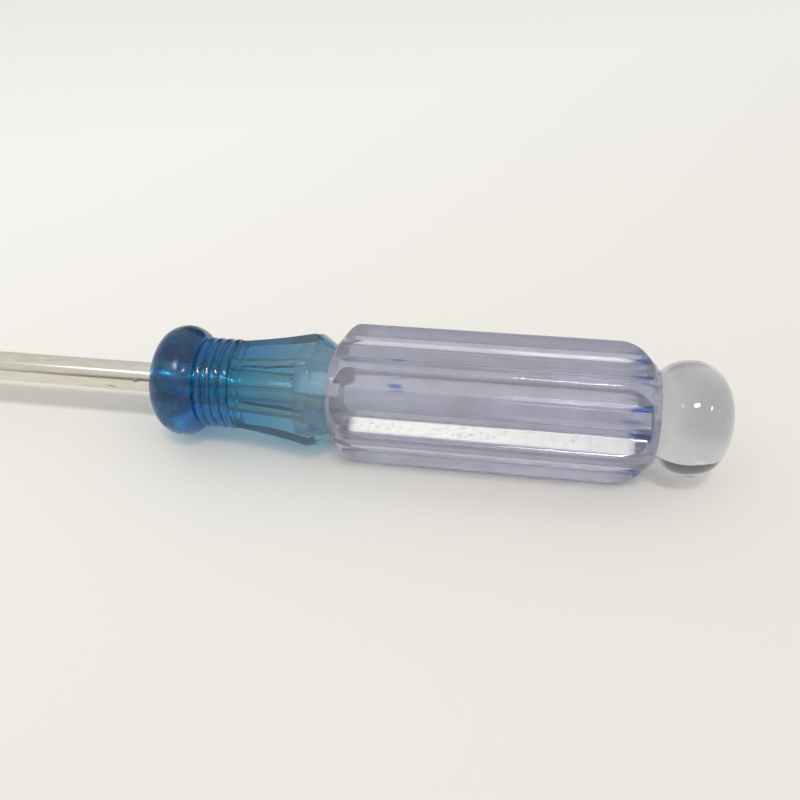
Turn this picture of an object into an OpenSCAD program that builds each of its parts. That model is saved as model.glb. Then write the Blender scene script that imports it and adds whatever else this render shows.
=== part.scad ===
// Small screwdriver with a clear fluted handle, a ringed collar and a ball end.
// X runs along the tool: the ground tip is at -X and the ball end is at +X.
// Z is up. The tool lies on two neighbouring ridges of its grip, on the plane z = 0,
// and the origin is under the middle of its length.
// Inside the modules the tool stands upright: z is the distance from the collar's front face.

/* [Blade] */
// Diameter of the round steel rod
rod_d = 3.2; // [2.6:0.1:3.6]
// Length of rod that stands out of the collar
blade_out = 75; // [40:1:100]
// Width of the ground tip, across its two ground edges
tip_width = 3; // [2:0.1:3]
// Thickness of the ground tip at its very end
tip_thickness = 0.6; // [0.4:0.05:1]
// Length of the ground flats
tip_length = 9; // [6:0.5:14]
// Width of the flattened wings that anchor the rod in the core
wing_width = 4.4; // [4:0.1:5]
// Thickness of the flattened wings
wing_thickness = 2; // [1.6:0.1:2.6]
// Length of the wings
wing_length = 4.4; // [3.4:0.1:6]

/* [Collar] */
// Length of the collar, from its front face to the grip
collar_length = 18.9; // [18:0.1:22]
// Diameter of the rounded bead at the front
bead_d = 11.7; // [11:0.1:12.4]
// Length of the bead along the tool, up to the first ring
bead_length = 4.9; // [4.7:0.1:5.1]
// Radius of the bead's rounded outline
bead_round = 2.7; // [2.5:0.05:2.8]
// Number of rings behind the bead
ring_count = 4; // [3:1:5]
// Diameter over the rings
ring_d = 9.5; // [9.2:0.1:10]
// Length of one ring along the tool
ring_pitch = 0.95; // [0.8:0.05:1.05]
// Depth of the grooves between the rings
groove_depth = 0.4; // [0.2:0.05:0.4]
// Width across flats at the front of the octagonal part
octagon_front = 8.95; // [8.6:0.05:9.4]
// Width across flats where the octagonal part is widest
octagon_wide = 11.7; // [11:0.1:12.4]
// Diameter of the groove between collar and grip
waist_d = 9.5; // [9:0.1:10]

/* [Grip] */
// Diameter over the ridges
grip_d = 14.4; // [13.6:0.1:16]
// Length of the fluted sleeve
grip_length = 32.2; // [26:0.2:45]
// Depth of each flute below the ridges
flute_depth = 1.75; // [1.5:0.05:2.3]
// Width of the flat floor of a flute
flute_floor = 2.8; // [2:0.1:3]
// Width of a ridge at its top
ridge_width = 0.65; // [0.3:0.05:0.8]
// Length of the sloping front shoulder
front_shoulder = 1.85; // [1.6:0.05:2.4]
// Radius that softens the front shoulder's corner
front_round = 1.5; // [0.8:0.1:2]
// Length of the sloping rear shoulder
rear_shoulder = 2.3; // [2:0.05:2.6]
// Radius that softens the rear shoulder's corner
rear_round = 3.8; // [2:0.1:4]

/* [Core and ball] */
// Diameter of the clear core inside the grip
core_d = 7.8; // [7:0.1:8.2]
// Diameter of the core's spigot inside the collar
spigot_d = 6.8; // [6.4:0.1:7]
// Length of the spigot
spigot_length = 3.4; // [3:0.1:4.2]
// Diameter of the ball end
ball_d = 11.5; // [10:0.1:13]
// Diameter of the neck between grip and ball
neck_d = 8.5; // [8.4:0.1:8.8]
// Distance from the neck to the ball's widest point
ball_front = 3.25; // [2.8:0.05:4]
// Distance from the ball's widest point to its end
ball_rear = 4.1; // [3.8:0.1:6]

/* [Hidden] */
$fn = 96;

ridge_count = 6;
octagon_sides = 8;
ridge_step = 360 / ridge_count;
octagon_step = 360 / octagon_sides;
// Two opposite corners of the octagon line up with two opposite ridges.
octagon_turn = ridge_step / 2 + octagon_step / 2;
// Half the angle that a ridge's top covers, and the height of the tool's axis over its rest plane
ridge_half_angle = asin(ridge_width / grip_d);
axis_height = grip_d / 2 * cos(ridge_step / 2 - ridge_half_angle);
// The wings are pressed in this direction around the axis
wing_turn = 143;

rings_start = bead_length;
octagon_start = bead_length + ring_count * ring_pitch;
rear_chamfer = 1.55;
chamfer_slope = 0.72;
octagon_widest = collar_length - rear_chamfer;
// Radius at which the bevel of the octagon's front corners starts
shoulder_r = ring_d / 2 - groove_depth + 0.1;
// A little more than the radius over the octagon's corners where it is widest
corner_r = octagon_wide / 2 / cos(octagon_step / 2) + 0.2;
spigot_start = collar_length - spigot_length;
grip_end = collar_length + grip_length;
ball_equator = grip_end + ball_front;
ball_power = 2.2;
handle_length = ball_equator + ball_rear;
// x of the collar's front face when the whole tool is centred on the origin
front_face_x = (blade_out - handle_length) / 2;
beyond = 1;
curve_steps = 16;

// Turns what stands upright along +X and lifts it to the height at which the tool lies.
module lay_down() {
    translate([front_face_x, 0, axis_height])
        rotate([0, 90, 0])
            children();
}

// The two slopes that are ground away to leave the flat tip.
module tip_grinding() {
    slope = (rod_d - tip_thickness) / 2;
    for (side = [0, 180])
        rotate([0, 0, side])
            translate([0, rod_d, -blade_out])
                rotate([90, 0, 0])
                    linear_extrude(2 * rod_d)
                        polygon([
                            [tip_thickness / 2, -beyond],
                            [tip_thickness / 2, 0],
                            [tip_thickness / 2 + slope, tip_length],
                            [rod_d, tip_length],
                            [rod_d, -beyond]
                        ]);
    for (side = [-1, 1])
        translate([-rod_d, side * (tip_width / 2 + rod_d / 2) - rod_d / 2, -blade_out - beyond])
            cube([2 * rod_d, rod_d, tip_length + beyond]);
}

// The rod's inner end, with the two flattened wings; the core is moulded round it.
module anchor() {
    translate([0, 0, spigot_start])
        cylinder(h = wing_length / 2, d = rod_d);
    rotate([0, 0, wing_turn])
        intersection() {
            translate([-wing_width / 2, -wing_thickness / 2, spigot_start])
                cube([wing_width, wing_thickness, wing_length]);
            translate([0, 0, spigot_start])
                cylinder(h = wing_length, r1 = rod_d / 2, r2 = rod_d / 2 + wing_length);
        }
}

module blade() {
    color([0.75, 0.74, 0.71])
        lay_down()
            union() {
                difference() {
                    translate([0, 0, -blade_out])
                        cylinder(h = blade_out + spigot_start, d = rod_d);
                    tip_grinding();
                }
                anchor();
            }
}

// Half the width across flats of the octagonal part, at a share t of its length.
// It leaves the rings at a slight slope and steepens towards the rear.
function octagon_half(t) =
    (octagon_front + (octagon_wide - octagon_front) * (0.6 * t + 0.4 * t * t)) / 2;

// Everything between two opposite flats of the octagonal part.
module between_flats() {
    run = octagon_widest - octagon_start;
    side = [for (i = [0 : curve_steps])
        [octagon_half(i / curve_steps), octagon_start + run * i / curve_steps]];
    last = [[octagon_wide / 2, collar_length]];
    outline = concat(side, last);
    mirrored = [for (i = [len(outline) - 1 : -1 : 0]) [-outline[i][0], outline[i][1]]];
    rotate([90, 0, 0])
        linear_extrude(2 * bead_d, center = true)
            polygon(concat(outline, mirrored));
}

// The octagon's front corners are bevelled and its rear is turned to a cone.
module octagon_envelope() {
    rotate_extrude()
        polygon([
            [0, octagon_start],
            [shoulder_r, octagon_start],
            [corner_r, octagon_start + corner_r - shoulder_r],
            [corner_r, collar_length - (corner_r - waist_d / 2) / chamfer_slope],
            [waist_d / 2, collar_length],
            [0, collar_length]
        ]);
}

// What lies inside all four pairs of flats and the envelope.
module octagonal_part() {
    intersection() {
        rotate([0, 0, octagon_turn]) between_flats();
        rotate([0, 0, octagon_turn + octagon_step]) between_flats();
        rotate([0, 0, octagon_turn + 2 * octagon_step]) between_flats();
        rotate([0, 0, octagon_turn + 3 * octagon_step]) between_flats();
        octagon_envelope();
    }
}

module bead_and_rings() {
    ring_r = 0.45 * ring_pitch;
    rotate_extrude() {
        square([bead_d / 2 - bead_round, bead_length]);
        translate([bead_d / 2 - bead_round, bead_round])
            intersection() {
                circle(r = bead_round);
                translate([0, -bead_round])
                    square([bead_round, 2 * bead_round]);
            }
        square([ring_d / 2 - groove_depth, octagon_start + ring_pitch / 2]);
        for (i = [0 : ring_count - 1])
            translate([ring_d / 2 - ring_r, rings_start + ring_pitch * (i + 0.5)])
                circle(r = ring_r);
    }
}

module collar() {
    color([0.1, 0.42, 0.6])
        lay_down()
            difference() {
                union() {
                    bead_and_rings();
                    octagonal_part();
                }
                translate([0, 0, -beyond])
                    cylinder(h = collar_length + 2 * beyond, d = rod_d);
                translate([0, 0, spigot_start])
                    cylinder(h = spigot_length + beyond, d = spigot_d);
            }
}

// Radius of the ball at a height along the tool: two halves that meet at the widest point,
// a little fuller than ovals.
function ball_radius(z) =
    let (front_half = ball_front / pow(1 - pow(neck_d / ball_d, ball_power), 1 / ball_power))
    let (reach = z < ball_equator ? front_half : ball_rear)
    let (share = abs(z - ball_equator) / reach)
    ball_d / 2 * pow(max(0, 1 - pow(share, ball_power)), 1 / ball_power);

module ball() {
    front = [for (i = [0 : curve_steps - 1]) grip_end + ball_front * i / curve_steps];
    rear = [for (i = [0 : curve_steps])
        ball_equator + ball_rear * sin(90 * i / curve_steps)];
    heights = concat(front, rear);
    rotate_extrude()
        polygon(concat(
            [[0, handle_length], [0, grip_end]],
            [for (z = heights) if (z < handle_length) [ball_radius(z), z]]
        ));
}

module core() {
    color([0.86, 0.87, 0.9])
        lay_down()
            difference() {
                union() {
                    translate([0, 0, spigot_start])
                        cylinder(h = spigot_length, d = spigot_d);
                    translate([0, 0, collar_length])
                        cylinder(h = grip_length, d = core_d);
                    ball();
                }
                anchor();
            }
}

// Half of the sleeve's outline: a slope of the given length that starts at the waist, and
// a round corner where it reaches the ridges.
module half_outline(length, shoulder, corner_round) {
    grip_r = grip_d / 2;
    rise = grip_r - waist_d / 2;
    lean = atan2(rise, shoulder);
    round_z = shoulder + corner_round * tan(lean / 2);
    tangent = [grip_r - corner_round * (1 - cos(lean)), round_z - corner_round * sin(lean)];
    polygon([
        [0, 0],
        [waist_d / 2, 0],
        tangent,
        [grip_r - corner_round, round_z],
        [grip_r, round_z],
        [grip_r, length],
        [0, length]
    ]);
    translate([grip_r - corner_round, round_z])
        intersection() {
            circle(r = corner_round);
            translate([0, -corner_round])
                square(corner_round);
        }
}

// Outline of the sleeve before its flutes are cut.
module sleeve_outline() {
    translate([0, collar_length]) {
        half_outline(grip_length / 2, front_shoulder, front_round);
        translate([0, grip_length])
            mirror([0, 1])
                half_outline(grip_length / 2, rear_shoulder, rear_round);
    }
}

// Cross-section of one flute: a flat floor between two sloping walls.
module flute_section() {
    floor_x = grip_d / 2 - flute_depth;
    edge = ridge_step / 2 - ridge_half_angle;
    edge_x = grip_d / 2 * cos(edge);
    edge_y = grip_d / 2 * sin(edge);
    steepness = (edge_y - flute_floor / 2) / (edge_x - floor_x);
    outer_y = edge_y + steepness * (grip_d / 2 + beyond - edge_x);
    polygon([
        [floor_x, -flute_floor / 2],
        [edge_x, -edge_y],
        [grip_d / 2 + beyond, -outer_y],
        [grip_d / 2 + beyond, outer_y],
        [edge_x, edge_y],
        [floor_x, flute_floor / 2]
    ]);
}

module grip() {
    color([0.7, 0.71, 0.82])
        lay_down()
            difference() {
                rotate_extrude() sleeve_outline();
                for (i = [0 : ridge_count - 1])
                    rotate([0, 0, i * ridge_step])
                        translate([0, 0, collar_length - beyond])
                            linear_extrude(grip_length + 2 * beyond)
                                flute_section();
                translate([0, 0, collar_length - beyond])
                    cylinder(h = grip_length + 2 * beyond, d = core_d);
            }
}

blade();
collar();
core();
grip();
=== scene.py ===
"""A small screwdriver with a clear fluted handle, a blue ringed collar and a ball end.

X runs along the tool from its tip to its ball, Z is up, and lengths are in metres.
"""

import math

import bmesh
import bpy
from mathutils import Matrix, Quaternion, Vector


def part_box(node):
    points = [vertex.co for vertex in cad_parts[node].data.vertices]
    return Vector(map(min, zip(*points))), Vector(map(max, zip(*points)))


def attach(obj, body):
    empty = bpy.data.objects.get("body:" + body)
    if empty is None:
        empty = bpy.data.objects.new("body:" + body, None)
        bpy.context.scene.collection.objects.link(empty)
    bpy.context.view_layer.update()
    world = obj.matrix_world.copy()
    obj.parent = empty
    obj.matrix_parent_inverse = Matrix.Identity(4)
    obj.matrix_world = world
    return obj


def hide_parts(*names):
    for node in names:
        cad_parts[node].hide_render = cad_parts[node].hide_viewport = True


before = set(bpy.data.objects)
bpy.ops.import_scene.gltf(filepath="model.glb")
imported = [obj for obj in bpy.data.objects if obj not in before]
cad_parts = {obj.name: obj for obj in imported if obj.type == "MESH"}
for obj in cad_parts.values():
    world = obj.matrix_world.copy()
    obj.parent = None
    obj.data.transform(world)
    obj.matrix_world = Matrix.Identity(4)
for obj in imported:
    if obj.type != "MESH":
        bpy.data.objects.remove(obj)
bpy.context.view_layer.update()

MM = 0.001

# ---------------------------------------------------------------- places, from the frame
blade_low, blade_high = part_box("blade")
collar_low, collar_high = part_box("collar")
core_low, core_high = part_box("core")
grip_low, grip_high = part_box("grip")

AXIS_Z = (core_low.z + core_high.z) / 2
TIP = blade_low.x
ROD_END = blade_high.x
COLLAR_FRONT = collar_low.x
COLLAR_REAR = collar_high.x
SPIGOT_FRONT = core_low.x
GRIP_REAR = grip_high.x
BALL_END = core_high.x
GRIP_R = (grip_high.y - grip_low.y) / 2
BALL_R = (core_high.y - core_low.y) / 2

# ---------------------------------------------------------------- sizes of the pieces
ROD_R = 1.6 * MM
TIP_LENGTH = 9 * MM
TIP_HALF_WIDTH = 1.5 * MM
TIP_HALF_THICKNESS = 0.3 * MM
WING_HALF_WIDTH = 2.2 * MM
WING_HALF_THICKNESS = 1 * MM
WING_TURN = 143
BEAD_R = 5.85 * MM
BEAD_ROUND = 2.7 * MM
BEAD_LENGTH = 4.9 * MM
RING_COUNT = 4
RING_PITCH = 0.95 * MM
RING_R = 4.75 * MM
GROOVE_DEPTH = 0.4 * MM
OCTAGON_FRONT = 4.475 * MM
OCTAGON_WIDE = 5.85 * MM
REAR_CHAMFER = 1.55 * MM
CHAMFER_SLOPE = 0.72
WAIST_R = 4.75 * MM
SPIGOT_R = 3.4 * MM
CORE_R = 3.9 * MM
NECK_R = 4.25 * MM
BALL_FRONT = 3.25 * MM
BALL_POWER = 2.2
FRONT_SHOULDER = 1.85 * MM
FRONT_ROUND = 1.5 * MM
REAR_SHOULDER = 2.3 * MM
REAR_ROUND = 3.8 * MM
FLUTE_FLOOR_R = GRIP_R - 1.75 * MM
FLUTE_HALF_WIDTH = 1.4 * MM
RIDGE_HALF_WIDTH = 0.325 * MM
# Moulded pieces reach this far into each other, so that a joint has no gap to shine
BOND = 0.012 * MM
ROUND = 1.0  # a flat this far out limits nothing


def arc(x, r, radius, start, end, steps):
    """Points of a circle's arc in the outline's plane; angles are in degrees from +X."""
    turns = [math.radians(start + (end - start) * i / steps) for i in range(steps + 1)]
    return [(x + radius * math.cos(t), r + radius * math.sin(t)) for t in turns]


def line(a, b, steps):
    """Points along a straight stretch, without its last one."""
    return [(a[0] + (b[0] - a[0]) * i / steps, a[1] + (b[1] - a[1]) * i / steps) for i in range(steps)]


# ---------------------------------------------------------------- turned and fluted bodies
def value_node(tree, operation, *values):
    """One math node whose inputs are numbers or other nodes' outputs."""
    node = tree.nodes.new("ShaderNodeMath")
    node.operation = operation
    for socket, value in zip(node.inputs, values):
        if isinstance(value, (int, float)):
            socket.default_value = value
        else:
            tree.links.new(value, socket)
    return node.outputs[0]


def turned_tree():
    """Turns an outline round the tool's axis and cuts each section to flats or flutes.

    The outline's points hold x and radius, and its attribute "flat" is how far the flats
    stand from the axis there. Flutes add two sloping walls beside each flat.
    """
    tree = bpy.data.node_groups.new("turned_body", "GeometryNodeTree")
    face = tree.interface
    face.new_socket("Outline", in_out="INPUT", socket_type="NodeSocketGeometry")
    for name in ("Around", "Along", "Sides"):
        face.new_socket(name, in_out="INPUT", socket_type="NodeSocketInt")
    for name in ("Turn", "Wall distance", "Wall lean", "Floor softness", "Edge softness", "Axis height"):
        face.new_socket(name, in_out="INPUT", socket_type="NodeSocketFloat")
    face.new_socket("Material", in_out="INPUT", socket_type="NodeSocketMaterial")
    face.new_socket("Body", in_out="OUTPUT", socket_type="NodeSocketGeometry")
    new, link = tree.nodes.new, tree.links.new
    given = new("NodeGroupInput").outputs

    def calc(operation, *values):
        return value_node(tree, operation, *values)

    grid = new("GeometryNodeMeshGrid")
    link(given["Around"], grid.inputs["Vertices X"])
    link(given["Along"], grid.inputs["Vertices Y"])
    index = new("GeometryNodeInputIndex").outputs[0]
    row = calc("FLOORED_MODULO", index, given["Along"])
    column = calc("FLOOR", calc("DIVIDE", calc("ADD", index, 0.5), given["Along"]))
    angle = calc("DIVIDE", calc("MULTIPLY", column, math.tau), calc("SUBTRACT", given["Around"], 1))

    position = new("GeometryNodeInputPosition").outputs[0]
    place = new("GeometryNodeSampleIndex")
    place.data_type = "FLOAT_VECTOR"
    link(given["Outline"], place.inputs["Geometry"])
    link(position, place.inputs["Value"])
    link(row, place.inputs["Index"])
    split = new("ShaderNodeSeparateXYZ")
    link(place.outputs[0], split.inputs[0])

    flat_name = new("GeometryNodeInputNamedAttribute")
    flat_name.data_type = "FLOAT"
    flat_name.inputs["Name"].default_value = "flat"
    flat = new("GeometryNodeSampleIndex")
    flat.data_type = "FLOAT"
    link(given["Outline"], flat.inputs["Geometry"])
    link(flat_name.outputs["Attribute"], flat.inputs["Value"])
    link(row, flat.inputs["Index"])

    # Angle from the middle of the nearest flat
    step = calc("DIVIDE", math.tau, given["Sides"])
    turned = calc("ADD", calc("SUBTRACT", angle, given["Turn"]), calc("MULTIPLY", step, 0.5))
    folded = calc("FLOORED_MODULO", turned, step)
    aside = calc("ABSOLUTE", calc("SUBTRACT", folded, calc("MULTIPLY", step, 0.5)))
    flat_r = calc("DIVIDE", flat.outputs[0], calc("COSINE", aside))
    wall_r = calc("DIVIDE", given["Wall distance"], calc("COSINE", calc("ADD", aside, given["Wall lean"])))
    limit = calc("SMOOTH_MAX", flat_r, wall_r, given["Floor softness"])
    radius = calc("SMOOTH_MIN", split.outputs["Y"], limit, given["Edge softness"])

    join = new("ShaderNodeCombineXYZ")
    link(split.outputs["X"], join.inputs["X"])
    link(calc("MULTIPLY", radius, calc("COSINE", angle)), join.inputs["Y"])
    link(calc("MULTIPLY_ADD", radius, calc("SINE", angle), given["Axis height"]), join.inputs["Z"])
    move = new("GeometryNodeSetPosition")
    link(grid.outputs["Mesh"], move.inputs["Geometry"])
    link(join.outputs[0], move.inputs["Position"])
    merge = new("GeometryNodeMergeByDistance")
    merge.inputs["Distance"].default_value = 0.0005 * MM
    link(move.outputs[0], merge.inputs["Geometry"])
    smooth = new("GeometryNodeSetShadeSmooth")
    link(merge.outputs[0], smooth.inputs["Geometry"])
    real = new("GeometryNodeRealizeInstances")
    link(smooth.outputs[0], real.inputs["Geometry"])
    paint = new("GeometryNodeSetMaterial")
    link(real.outputs[0], paint.inputs["Geometry"])
    link(given["Material"], paint.inputs["Material"])
    link(paint.outputs[0], new("NodeGroupOutput").inputs[0])
    return tree


def turned_mesh(name, outline, flats, material, around, sides=8, turn=0.0,
                wall_distance=0.0, wall_lean=0.0, floor_softness=0.0, edge_softness=0.0):
    """A plain mesh made by the turned_body tree from an outline of (x, radius) points."""
    mesh = bpy.data.meshes.new(name + "_outline")
    mesh.from_pydata([(x, r, 0) for x, r in outline], [(i, i + 1) for i in range(len(outline) - 1)], [])
    mesh.attributes.new("flat", "FLOAT", "POINT").data.foreach_set("value", flats)
    host = bpy.data.objects.new(name + "_outline", mesh)
    bpy.context.scene.collection.objects.link(host)
    tree = bpy.data.node_groups.get("turned_body") or turned_tree()
    modifier = host.modifiers.new("turned_body", "NODES")
    modifier.node_group = tree
    given = {
        "Around": around + 1, "Along": len(outline), "Sides": sides, "Turn": turn,
        "Wall distance": wall_distance, "Wall lean": wall_lean,
        "Floor softness": floor_softness, "Edge softness": edge_softness,
        "Axis height": AXIS_Z, "Material": material,
    }
    for item in tree.interface.items_tree:
        if item.name in given:
            modifier[item.identifier] = given[item.name]
    host.update_tag()
    bpy.context.view_layer.update()
    evaluated = host.evaluated_get(bpy.context.evaluated_depsgraph_get())
    made = bpy.data.meshes.new_from_object(evaluated)
    bpy.data.objects.remove(host)
    made.name = name
    return made


def face_outwards(mesh):
    """Merges doubles, drops faces without area and turns every face outwards."""
    work = bmesh.new()
    work.from_mesh(mesh)
    bmesh.ops.remove_doubles(work, verts=work.verts, dist=0.0005 * MM)
    bmesh.ops.dissolve_degenerate(work, edges=work.edges, dist=0.0002 * MM)
    bmesh.ops.recalc_face_normals(work, faces=work.faces)
    if work.calc_volume(signed=True) < 0:
        bmesh.ops.reverse_faces(work, faces=work.faces)
    work.to_mesh(mesh)
    work.free()


def piece(name, mesh, node, crease=35):
    """An object for a finished mesh that stands for a CAD node."""
    face_outwards(mesh)
    mesh.shade_smooth()
    mesh.set_sharp_from_angle(angle=math.radians(crease))
    made = bpy.data.objects.new(name, mesh)
    bpy.context.scene.collection.objects.link(made)
    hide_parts(node)
    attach(made, "root")
    return made


# ---------------------------------------------------------------- materials
def principled(material):
    return material.node_tree.nodes["Principled BSDF"]


def new_material(name):
    material = bpy.data.materials.new(name)
    material.use_nodes = True
    return material


def own_place(tree):
    """The x, y and z of a point in the object's own metres."""
    place = tree.nodes.new("ShaderNodeTexCoord")
    split = tree.nodes.new("ShaderNodeSeparateXYZ")
    tree.links.new(place.outputs["Object"], split.inputs[0])
    return [split.outputs[name] for name in "XYZ"]


def feeding(shader, name):
    """The output that feeds one of a shader's inputs."""
    return shader.inputs[name].links[0].from_socket


def noise(tree, scale, detail, stretch=(1, 1, 1)):
    """Noise in the object's own metres; a small stretch draws it out along that axis."""
    place = tree.nodes.new("ShaderNodeTexCoord")
    mapping = tree.nodes.new("ShaderNodeMapping")
    mapping.inputs["Scale"].default_value = stretch
    texture = tree.nodes.new("ShaderNodeTexNoise")
    texture.inputs["Scale"].default_value = scale
    texture.inputs["Detail"].default_value = detail
    tree.links.new(place.outputs["Object"], mapping.inputs["Vector"])
    tree.links.new(mapping.outputs[0], texture.inputs["Vector"])
    return texture.outputs["Fac"]


def spread(tree, value, low, high, to_low, to_high):
    """Maps low..high of a value to to_low..to_high, and holds it at the ends."""
    node = tree.nodes.new("ShaderNodeMapRange")
    tree.links.new(value, node.inputs["Value"])
    for name, number in (("From Min", low), ("From Max", high), ("To Min", to_low), ("To Max", to_high)):
        node.inputs[name].default_value = number
    return node.outputs["Result"]


def blend_colours(tree, share, first, second):
    """Mixes two colours, each given as numbers or as another node's output."""
    node = tree.nodes.new("ShaderNodeMix")
    node.data_type = "RGBA"
    tree.links.new(share, node.inputs["Factor"])
    for socket, colour in ((node.inputs[6], first), (node.inputs[7], second)):
        if isinstance(colour, tuple):
            socket.default_value = (*colour, 1)
        else:
            tree.links.new(colour, socket)
    return node.outputs[2]


def bump(tree, height, strength, depth, below=None):
    node = tree.nodes.new("ShaderNodeBump")
    node.inputs["Strength"].default_value = strength
    node.inputs["Distance"].default_value = depth
    tree.links.new(height, node.inputs["Height"])
    if below:
        tree.links.new(below, node.inputs["Normal"])
    return node.outputs[0]


def along(tree, low, high, stops):
    """Colours that change along the tool; each stop is a share of the way and a colour."""
    x = own_place(tree)[0]
    ramp = tree.nodes.new("ShaderNodeValToRGB")
    while len(ramp.color_ramp.elements) < len(stops):
        ramp.color_ramp.elements.new(0.5)
    for element, (share, colour) in zip(ramp.color_ramp.elements, stops):
        element.position = share
        element.color = (*colour, 1)
    tree.links.new(spread(tree, x, low, high, 0, 1), ramp.inputs[0])
    return ramp.outputs[0]


def clear_plastic(name, stops, ends, dye, density, haze, shadow, roughness, wobble, scratches):
    """A transparent plastic: a dye that darkens with depth, a little haze and worn skin.

    stops are the skin's colours along the tool, between the two ends. haze is the share of
    light that the skin scatters, and shadow is what each side lets through to the floor.
    wobble and scratches are the depths of its uneven moulding and of its fine marks.
    """
    material = new_material(name)
    tree = material.node_tree
    shader = principled(material)
    shader.inputs["IOR"].default_value = 1.49
    shader.inputs["Transmission Weight"].default_value = 1 - haze
    clouds = spread(tree, noise(tree, 260, 3), 0.35, 0.65, 0.9, 1)
    shade = tree.nodes.new("ShaderNodeVectorMath")
    shade.operation = "SCALE"
    tree.links.new(along(tree, *ends, stops), shade.inputs[0])
    tree.links.new(clouds, shade.inputs["Scale"])
    tree.links.new(shade.outputs[0], shader.inputs["Base Color"])
    marks = noise(tree, 2600, 4, (0.12, 1, 1))
    tree.links.new(spread(tree, marks, 0.5, 0.75, roughness, 2.5 * roughness), shader.inputs["Roughness"])
    uneven = bump(tree, noise(tree, 550, 1, (0.4, 1, 1)), 1, wobble)
    tree.links.new(bump(tree, marks, 1, scratches, uneven), shader.inputs["Normal"])
    absorb = tree.nodes.new("ShaderNodeVolumeAbsorption")
    absorb.inputs["Color"].default_value = (*dye, 1)
    absorb.inputs["Density"].default_value = density
    tree.links.new(absorb.outputs[0], tree.nodes["Material Output"].inputs["Volume"])
    # Lamps shine through the plastic, which tints its shadow
    ray = tree.nodes.new("ShaderNodeLightPath")
    through = tree.nodes.new("ShaderNodeBsdfTransparent")
    through.inputs["Color"].default_value = (*shadow, 1)
    choose = tree.nodes.new("ShaderNodeMixShader")
    tree.links.new(ray.outputs["Is Shadow Ray"], choose.inputs[0])
    tree.links.new(shader.outputs[0], choose.inputs[1])
    tree.links.new(through.outputs[0], choose.inputs[2])
    tree.links.new(choose.outputs[0], tree.nodes["Material Output"].inputs["Surface"])
    return material


def plated_steel():
    """Bright plated steel with fine marks along the rod and a few small nicks."""
    material = new_material("plated_steel")
    tree = material.node_tree
    shader = principled(material)
    shader.inputs["Metallic"].default_value = 1
    marks = noise(tree, 2500, 3, (0.15, 1, 1))
    nicks = spread(tree, noise(tree, 900, 2, (0.35, 1, 1)), 0.68, 0.74, 0, 1)
    worn = blend_colours(tree, spread(tree, marks, 0.4, 0.7, 0, 1), (0.8, 0.765, 0.69), (0.72, 0.68, 0.6))
    tree.links.new(blend_colours(tree, nicks, worn, (0.2, 0.18, 0.16)), shader.inputs["Base Color"])
    tree.links.new(spread(tree, marks, 0.3, 0.7, 0.1, 0.22), shader.inputs["Roughness"])
    tree.links.new(bump(tree, nicks, 1, -0.01 * MM), shader.inputs["Normal"])
    return material


def window(tree, value, low, high, soft):
    """1 between low and high, and 0 outside, with soft edges."""
    rise = spread(tree, value, low - soft, low + soft, 0, 1)
    fall = spread(tree, value, high - soft, high + soft, 1, 0)
    return value_node(tree, "MULTIPLY", rise, fall)


def degree_window(tree, angle, low, high, soft):
    """A window for an angle, with its limits in degrees."""
    return window(tree, angle, math.radians(low), math.radians(high), math.radians(soft))


def flute_places(tree):
    """A point's x, its angle round the tool, and its angle from the middle of its flute."""
    x, y, z = own_place(tree)
    angle = value_node(tree, "ARCTAN2", value_node(tree, "SUBTRACT", z, AXIS_Z), y)
    folded = value_node(tree, "FLOORED_MODULO", angle, math.pi / 3)
    aside = value_node(tree, "ABSOLUTE", value_node(tree, "SUBTRACT", folded, math.pi / 6))
    return x, angle, aside


def scuff_walls_and_paint_glare(material):
    """Scuffs the flutes' walls and paints a white highlight on the near wall, where the lamps' glare falls,
    over its scuffing; the other walls are only lightly scuffed.
    """
    tree = material.node_tree
    shader = principled(material)
    x, angle, aside = flute_places(tree)
    walls = degree_window(tree, aside, 16, 25, 0.7)
    # The near wall gets the full white: a painted highlight of the lamps' glare, over real scuffing
    glare_wall = degree_window(tree, angle, 160, 178, 1)
    reach = window(tree, x, COLLAR_REAR + 3 * MM, GRIP_REAR - 2.6 * MM, 0.4 * MM)
    rubbed_and_glare = value_node(tree, "MULTIPLY", value_node(tree, "MULTIPLY", walls, reach),
                        spread(tree, glare_wall, 0, 1, 0.06, 1))
    mottle = spread(tree, noise(tree, 4200, 5, (0.6, 1, 1)), 0.3, 0.5, 0.5, 1)
    fade = spread(tree, x, COLLAR_REAR + 12 * MM, GRIP_REAR - 3 * MM, 1, 0.75)
    scuff_and_glare = value_node(tree, "MULTIPLY", value_node(tree, "MULTIPLY", rubbed_and_glare, mottle), fade)
    rougher = value_node(tree, "MULTIPLY_ADD", rubbed_and_glare, 0.5, feeding(shader, "Roughness"))
    tree.links.new(rougher, shader.inputs["Roughness"])
    clear = shader.inputs["Transmission Weight"].default_value
    tree.links.new(spread(tree, scuff_and_glare, 0, 1, clear, 0.2), shader.inputs["Transmission Weight"])
    # Painted highlight: the white mixed in here is the lamps' glare on the near wall, over light scuffing on
    # every wall
    colour = blend_colours(tree, scuff_and_glare, feeding(shader, "Base Color"), (0.98, 0.98, 0.96))
    tree.links.new(colour, shader.inputs["Base Color"])


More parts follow.
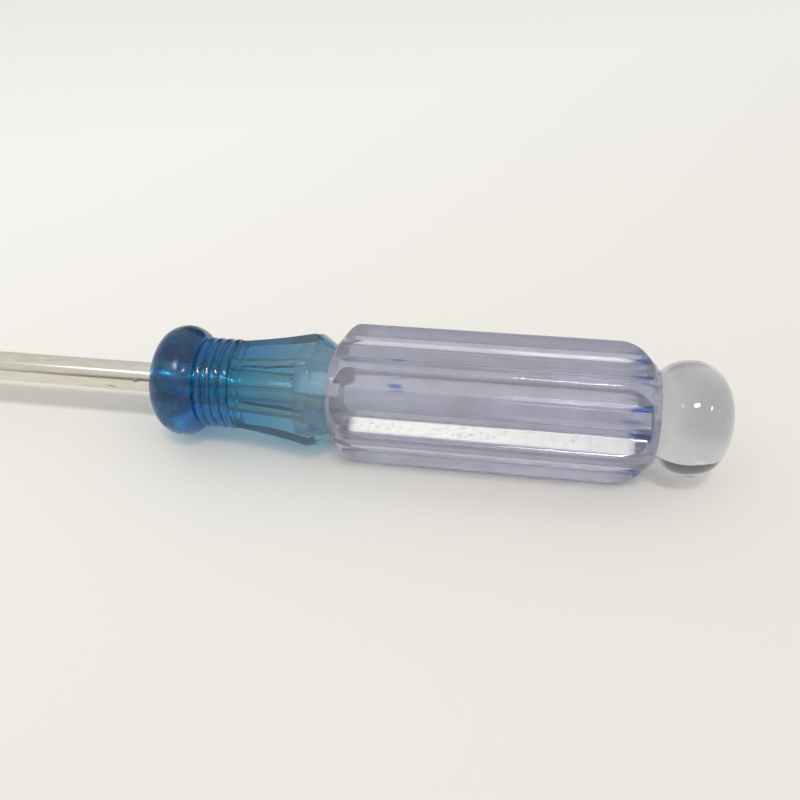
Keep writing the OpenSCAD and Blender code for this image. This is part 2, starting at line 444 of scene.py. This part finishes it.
def stain_grip_and_paint_reflections(material):
    """Painted reflections of the blue collar as blue wedges at the flutes' rear corners, and two small blue
    stains near the front.
    """
    tree = material.node_tree
    shader = principled(material)
    x, angle, aside = flute_places(tree)
    # How much further round, in radians, a wedge reaches for each metre to the rear
    widening = 2.6 / 60 / MM
    slant = value_node(tree, "MULTIPLY_ADD", x, -widening, aside)
    edge = math.radians(15.5) - widening * (GRIP_REAR - 1.9 * MM)
    # The wedges are a painted reflection of the blue collar, seen in the flutes' rear corners
    wedge = value_node(tree, "MULTIPLY", spread(tree, slant, edge + 0.01, edge - 0.01, 0, 1),
                       degree_window(tree, aside, 10.5, 20, 0.8))
    rear = window(tree, x, GRIP_REAR - 3 * MM, GRIP_REAR - 0.9 * MM, 0.25 * MM)
    blue = value_node(tree, "MULTIPLY", wedge, rear)
    speckle = spread(tree, noise(tree, 1500, 2), 0.34, 0.46, 0, 1)
    length = window(tree, x, COLLAR_REAR + 6.3 * MM, COLLAR_REAR + 7.7 * MM, 0.25 * MM)
    for middle in (103, 133):
        stain = value_node(tree, "MULTIPLY", length,
                           degree_window(tree, angle, middle - 1.8, middle + 1.8, 0.86))
        blue = value_node(tree, "MAXIMUM", blue, value_node(tree, "MULTIPLY", stain, speckle))
    # Mixes in the painted wedge reflections and the real blue stains
    colour = blend_colours(tree, blue, feeding(shader, "Base Color"), (0.1, 0.2, 0.6))
    tree.links.new(colour, shader.inputs["Base Color"])


def wear_bead(material):
    """Dulls the collar's bead and gives it a cloudy mix of teal and deep blue."""
    tree = material.node_tree
    shader = principled(material)
    x = own_place(tree)[0]
    bead = spread(tree, x, COLLAR_FRONT + BEAD_LENGTH, COLLAR_FRONT + 3.6 * MM, 0, 1)
    rough = value_node(tree, "MULTIPLY", bead, spread(tree, noise(tree, 900, 3), 0.4, 0.6, 0.1, 0.3))
    rougher = value_node(tree, "ADD", feeding(shader, "Roughness"), rough)
    tree.links.new(rougher, shader.inputs["Roughness"])
    patches = value_node(tree, "MULTIPLY", bead, spread(tree, noise(tree, 620, 3), 0.46, 0.6, 0, 0.7))
    colour = blend_colours(tree, patches, feeding(shader, "Base Color"), (0.05, 0.38, 0.52))
    tree.links.new(colour, shader.inputs["Base Color"])


STEEL = plated_steel()
BLUE = clear_plastic("blue_plastic",
                     ((0.0, (0.03, 0.16, 0.52)), (0.24, (0.025, 0.2, 0.56)), (0.5, (0.05, 0.46, 0.76)),
                      (1.0, (0.8, 0.88, 0.9))),
                     (COLLAR_FRONT, COLLAR_REAR), (0.0, 0.56, 0.7), 185,
                     haze=0.09, shadow=(0.83, 0.83, 0.85), roughness=0.04,
                     wobble=0.12 * MM, scratches=0.001 * MM)
CLEAR = clear_plastic("clear_plastic", ((0.0, (0.85, 0.85, 0.88)), (1.0, (0.7, 0.7, 0.73))),
                      (COLLAR_REAR, BALL_END), (0.8, 0.85, 1), 12,
                      haze=0.03, shadow=(0.5, 0.5, 0.52), roughness=0.03,
                      wobble=0.01 * MM, scratches=0.0002 * MM)
LAVENDER = clear_plastic("lavender_plastic", ((0.0, (0.85, 0.86, 0.93)), (1.0, (0.85, 0.85, 0.93))),
                         (COLLAR_REAR, GRIP_REAR), (0.8, 0.82, 1), 30,
                         haze=0.1, shadow=(0.62, 0.62, 0.66), roughness=0.05,
                         wobble=0.015 * MM, scratches=0.001 * MM)
scuff_walls_and_paint_glare(LAVENDER)
stain_grip_and_paint_reflections(LAVENDER)
wear_bead(BLUE)


# ---------------------------------------------------------------- the pieces
def grind_tip(mesh):
    """Cuts the two slopes and the two straight sides of the slotted tip."""
    slope = math.atan2(ROD_R - TIP_HALF_THICKNESS, TIP_LENGTH)
    work = bmesh.new()
    work.from_mesh(mesh)
    for side in (-1, 1):
        cuts = (
            ((TIP, 0, AXIS_Z + side * TIP_HALF_THICKNESS), (-math.sin(slope), 0, side * math.cos(slope))),
            ((TIP, side * TIP_HALF_WIDTH, AXIS_Z), (0, side, 0)),
        )
        for point, normal in cuts:
            near_tip = [f for f in work.faces if f.calc_center_median().x < TIP + TIP_LENGTH]
            geometry = list({v for f in near_tip for v in f.verts} | {e for f in near_tip for e in f.edges})
            bmesh.ops.bisect_plane(work, geom=geometry + near_tip, dist=1e-8, plane_co=point,
                                   plane_no=normal, clear_outer=True)
            rim = [e for e in work.edges if e.is_boundary]
            bmesh.ops.holes_fill(work, edges=rim, sides=0)
    work.to_mesh(mesh)
    work.free()


def add_wings(mesh):
    """The rod's flattened inner end, which stops it from turning in the core."""
    shape = bmesh.new()
    length = ROD_END - SPIGOT_FRONT
    flare = WING_HALF_WIDTH - ROD_R
    outline = [(0, -ROD_R), (flare, -WING_HALF_WIDTH), (length, -WING_HALF_WIDTH),
               (length, WING_HALF_WIDTH), (flare, WING_HALF_WIDTH), (0, ROD_R)]
    plate = shape.faces.new([shape.verts.new((x, y, -WING_HALF_THICKNESS)) for x, y in outline])
    top = bmesh.ops.extrude_face_region(shape, geom=[plate])["geom"]
    raised = [v for v in top if isinstance(v, bmesh.types.BMVert)]
    bmesh.ops.translate(shape, verts=raised, vec=(0, 0, 2 * WING_HALF_THICKNESS))
    bmesh.ops.bevel(shape, geom=shape.edges[:], offset=0.12 * MM, segments=3, profile=0.5, affect="EDGES")
    bmesh.ops.recalc_face_normals(shape, faces=shape.faces)
    turn = Matrix.Rotation(math.radians(90 - WING_TURN), 4, "X")
    bmesh.ops.transform(shape, verts=shape.verts, matrix=Matrix.Translation((SPIGOT_FRONT, 0, AXIS_Z)) @ turn)
    wings = bpy.data.meshes.new("wings")
    shape.to_mesh(wings)
    shape.free()
    work = bmesh.new()
    work.from_mesh(mesh)
    work.from_mesh(wings)
    work.to_mesh(mesh)
    work.free()
    bpy.data.meshes.remove(wings)


def make_blade():
    """The plated rod with its ground tip and its anchoring wings."""
    inner_end = SPIGOT_FRONT + (ROD_END - SPIGOT_FRONT) / 2
    ground = TIP + 1.2 * TIP_LENGTH
    outline = line((TIP, 0), (TIP, ROD_R), 6)
    outline += line((TIP, ROD_R), (ground, ROD_R), 40)
    outline += line((ground, ROD_R), (inner_end, ROD_R), 80)
    outline += line((inner_end, ROD_R), (inner_end, 0), 6)
    outline += [(inner_end, 0)]
    mesh = turned_mesh("blade", outline, [ROUND] * len(outline), STEEL, 128)
    grind_tip(mesh)
    add_wings(mesh)
    return piece("blade", mesh, "blade")


def octagon_flat(x, start, widest):
    """How far the octagon's flats stand from the axis: a slight slope that steepens."""
    t = max(0.0, min(1.0, (x - start) / (widest - start)))
    return OCTAGON_FRONT + (OCTAGON_WIDE - OCTAGON_FRONT) * (0.6 * t + 0.4 * t * t)


def make_collar():
    """The blue moulding: bead, rings and flared octagon round the rod and the spigot."""
    bead_centre = (COLLAR_FRONT + BEAD_ROUND, BEAD_R - BEAD_ROUND)
    outline = line((COLLAR_FRONT, ROD_R - BOND), (COLLAR_FRONT, bead_centre[1]), 8)
    outline += arc(*bead_centre, BEAD_ROUND, 180, 36, 60)
    ring_half = 0.45 * RING_PITCH
    for i in range(RING_COUNT):
        middle = COLLAR_FRONT + BEAD_LENGTH + RING_PITCH * (i + 0.5)
        outline += arc(middle, RING_R - ring_half, ring_half, 168, 12, 16)
    flats = [ROUND] * len(outline)

    start = COLLAR_FRONT + BEAD_LENGTH + RING_COUNT * RING_PITCH
    widest = COLLAR_REAR - REAR_CHAMFER
    corner = OCTAGON_WIDE / math.cos(math.pi / 8)
    root = RING_R - GROOVE_DEPTH
    cone_start = COLLAR_REAR - (corner - WAIST_R) / CHAMFER_SLOPE
    octagon = arc(start + 0.6 * MM, root + 0.1 * MM, 0.55 * MM, 180, 90, 10)
    octagon += line((start + 0.8 * MM, corner), (cone_start, corner), 50)
    octagon += line((cone_start, corner), (COLLAR_REAR, WAIST_R), 24)
    outline += octagon
    flats += [octagon_flat(x, start, widest) for x, r in octagon]

    rear = COLLAR_REAR + BOND
    corners = [(rear, WAIST_R - 5 * BOND), (rear, SPIGOT_R - BOND), (SPIGOT_FRONT + BOND, SPIGOT_R - BOND),
               (SPIGOT_FRONT + BOND, ROD_R - BOND), (COLLAR_FRONT, ROD_R - BOND)]
    inside = [point for a, b in zip(corners, corners[1:]) for point in line(a, b, 12)] + [corners[-1]]
    outline += inside
    flats += [ROUND] * len(inside)
    mesh = turned_mesh("collar", outline, flats, BLUE, 336, sides=8, turn=math.radians(142.5),
                       edge_softness=0.15 * MM)
    return piece("collar", mesh, "collar")


def oval(centre, reach, start, end, steps):
    """Points of the ball's outline, a little fuller than an oval; angles are in degrees."""
    points = []
    for i in range(steps + 1):
        t = math.radians(start + (end - start) * i / steps)
        along = abs(math.cos(t)) ** (2 / BALL_POWER) * math.copysign(1, math.cos(t))
        points.append((centre + reach * along, BALL_R * math.sin(t) ** (2 / BALL_POWER)))
    return points


def make_core():
    """The clear moulding: the spigot in the collar, the rod through the grip and the ball."""
    corners = [(SPIGOT_FRONT, 0), (SPIGOT_FRONT, SPIGOT_R), (COLLAR_REAR, SPIGOT_R),
               (COLLAR_REAR, CORE_R), (GRIP_REAR - BOND, CORE_R)]
    outline = [point for a, b in zip(corners, corners[1:]) for point in line(a, b, 14)]
    outline += [corners[-1]]
    equator = GRIP_REAR + BALL_FRONT
    neck = NECK_R / BALL_R
    front_half = BALL_FRONT / (1 - neck ** BALL_POWER) ** (1 / BALL_POWER)
    neck_angle = 180 - math.degrees(math.asin(neck ** (BALL_POWER / 2)))
    outline += oval(equator, front_half, neck_angle, 90, 40)
    outline += oval(equator, BALL_END - equator, 90, 0.01, 56)[1:]
    outline += [(BALL_END, 0)]
    mesh = turned_mesh("core", outline, [ROUND] * len(outline), CLEAR, 192)
    return piece("core", mesh, "core")


def shoulder(waist_x, direction, length, corner_round):
    """A sloping shoulder from the waist up to the ridges, with a round corner."""
    rise = GRIP_R - WAIST_R
    lean = math.atan2(rise, length)
    centre_x = waist_x + direction * (length + corner_round * math.tan(lean / 2))
    corner = arc(centre_x, GRIP_R - corner_round, corner_round, 90 + direction * math.degrees(lean), 90, 28)
    return line((waist_x, WAIST_R), corner[0], 24) + corner


def make_grip():
    """The lavender sleeve with its six flutes."""
    front = COLLAR_REAR - BOND
    front_half = shoulder(front, 1, FRONT_SHOULDER, FRONT_ROUND)
    rear_half = shoulder(GRIP_REAR, -1, REAR_SHOULDER, REAR_ROUND)[::-1]
    outline = line((front, CORE_R - BOND), (front, WAIST_R), 5)
    outline += front_half + line(front_half[-1], rear_half[0], 80)[1:] + rear_half
    outline += line((GRIP_REAR, WAIST_R), (GRIP_REAR, CORE_R - BOND), 5)[1:]
    bore = line((GRIP_REAR, CORE_R - BOND), (front, CORE_R - BOND), 40) + [outline[0]]
    flats = [FLUTE_FLOOR_R] * len(outline) + [ROUND] * len(bore)
    outline += bore
    edge = math.pi / 6 - math.asin(RIDGE_HALF_WIDTH / GRIP_R)
    climb = GRIP_R * math.cos(edge) - FLUTE_FLOOR_R
    run = GRIP_R * math.sin(edge) - FLUTE_HALF_WIDTH
    lean = math.atan2(climb, run)
    distance = FLUTE_FLOOR_R * math.cos(lean) - FLUTE_HALF_WIDTH * math.sin(lean)
    mesh = turned_mesh("grip", outline, flats, LAVENDER, 384, sides=6, turn=math.radians(30),
                       wall_distance=distance, wall_lean=lean,
                       floor_softness=0.25 * MM, edge_softness=0.2 * MM)
    return piece("grip", mesh, "grip")


make_blade()
make_collar()
make_core()
make_grip()


# ---------------------------------------------------------------- floor, light and camera
def make_floor():
    """A plain pale table with painted shade that makes it a little darker towards the near right."""
    size = 3.0
    mesh = bpy.data.meshes.new("floor")
    corners = [(-size, -size, 0), (size, -size, 0), (size, size, 0), (-size, size, 0)]
    mesh.from_pydata(corners, [], [(0, 1, 2, 3)])
    floor = bpy.data.objects.new("floor", mesh)
    bpy.context.scene.collection.objects.link(floor)
    floor.location.z = -0.00002
    material = new_material("pale_table")
    tree = material.node_tree
    place = tree.nodes.new("ShaderNodeTexCoord")
    across = tree.nodes.new("ShaderNodeVectorMath")
    across.operation = "DOT_PRODUCT"
    across.inputs[1].default_value = (0.62, -0.78, 0)
    tree.links.new(place.outputs["Object"], across.inputs[0])
    # Painted shade: the table is painted darker towards the near right, standing in for shade that falls on
    # it from the camera's side
    share = spread(tree, across.outputs["Value"], -0.08, 0.07, 0, 1)
    colour = blend_colours(tree, share, (0.93, 0.925, 0.905), (0.745, 0.725, 0.69))
    tree.links.new(colour, principled(material).inputs["Base Color"])
    principled(material).inputs["Roughness"].default_value = 0.6
    mesh.materials.append(material)


def area_light(name, place, target, size, power, colour):
    data = bpy.data.lights.new(name, "AREA")
    data.shape = "RECTANGLE"
    data.size, data.size_y = size
    data.energy = power
    data.color = colour
    lamp = bpy.data.objects.new(name, data)
    bpy.context.scene.collection.objects.link(lamp)
    lamp.location = place
    lamp.rotation_euler = (Vector(target) - Vector(place)).to_track_quat("-Z", "Y").to_euler()


def make_lamps():
    """Three soft ceiling lamps in a row along the tool, tilted to the near side."""
    middle = (COLLAR_REAR + GRIP_REAR) / 2
    for number, (aside, power) in enumerate(((-0.33, 0.12), (0.06, 1.25), (0.53, 0.6))):
        area_light("ceiling_lamp_%d" % number, (middle + aside, -0.27, 0.57), (middle, 0, 0),
                   (0.13, 0.07), power, (1, 0.99, 0.965))


def make_world():
    """A pale room that is darker near the horizon, with a warm tinge."""
    world = bpy.data.worlds.new("room")
    world.use_nodes = True
    bpy.context.scene.world = world
    tree = world.node_tree
    place = tree.nodes.new("ShaderNodeTexCoord")
    split = tree.nodes.new("ShaderNodeSeparateXYZ")
    tree.links.new(place.outputs["Generated"], split.inputs[0])
    ramp = tree.nodes.new("ShaderNodeValToRGB")
    stops = ((0.0, 0.45), (0.1, 0.68), (0.4, 0.72), (1.0, 0.78))
    while len(ramp.color_ramp.elements) < len(stops):
        ramp.color_ramp.elements.new(0.5)
    for element, (height, light) in zip(ramp.color_ramp.elements, stops):
        element.position = height
        element.color = (light, 0.99 * light, 0.955 * light, 1)
    tree.links.new(split.outputs["Z"], ramp.inputs[0])
    back = tree.nodes["Background"]
    tree.links.new(ramp.outputs[0], back.inputs["Color"])
    # A dark strip on the near side and a dark band low on the far side show in reflections
    near = window(tree, split.outputs["Y"], -0.92, -0.84, 0.03)
    far = spread(tree, split.outputs["Y"], 0.88, 0.94, 0, 1)
    dark = value_node(tree, "MAXIMUM", value_node(tree, "MULTIPLY", near, 0.75),
                      value_node(tree, "MULTIPLY", far, 0.88))
    seen = tree.nodes.new("ShaderNodeLightPath").outputs["Is Camera Ray"]
    dark = value_node(tree, "MULTIPLY", dark, value_node(tree, "SUBTRACT", 1, seen))
    tree.links.new(value_node(tree, "SUBTRACT", 1, dark), back.inputs["Strength"])


def make_camera():
    """Close over the near side of the grip, looking down at the tool."""
    elevation = math.radians(38)
    distance = 84 * MM
    foot = Vector((COLLAR_FRONT + 37.8 * MM, 0, AXIS_Z))
    aim = Vector((COLLAR_FRONT + 25.7 * MM, -0.23 * MM, AXIS_Z - 0.3 * MM))
    roll = math.radians(-1.94)
    eye = foot + distance * Vector((0, -math.cos(elevation), math.sin(elevation)))
    data = bpy.data.cameras.new("camera")
    data.sensor_width = 36
    data.lens = 37
    data.clip_start = 0.001
    data.clip_end = 50
    camera = bpy.data.objects.new("camera", data)
    bpy.context.scene.collection.objects.link(camera)
    camera.location = eye
    look = (aim - eye).to_track_quat("-Z", "Y") @ Quaternion((0, 0, 1), roll)
    camera.rotation_euler = look.to_euler()
    bpy.context.scene.camera = camera


make_floor()
make_lamps()
make_world()
make_camera()
bpy.context.scene.view_settings.view_transform = "Standard"
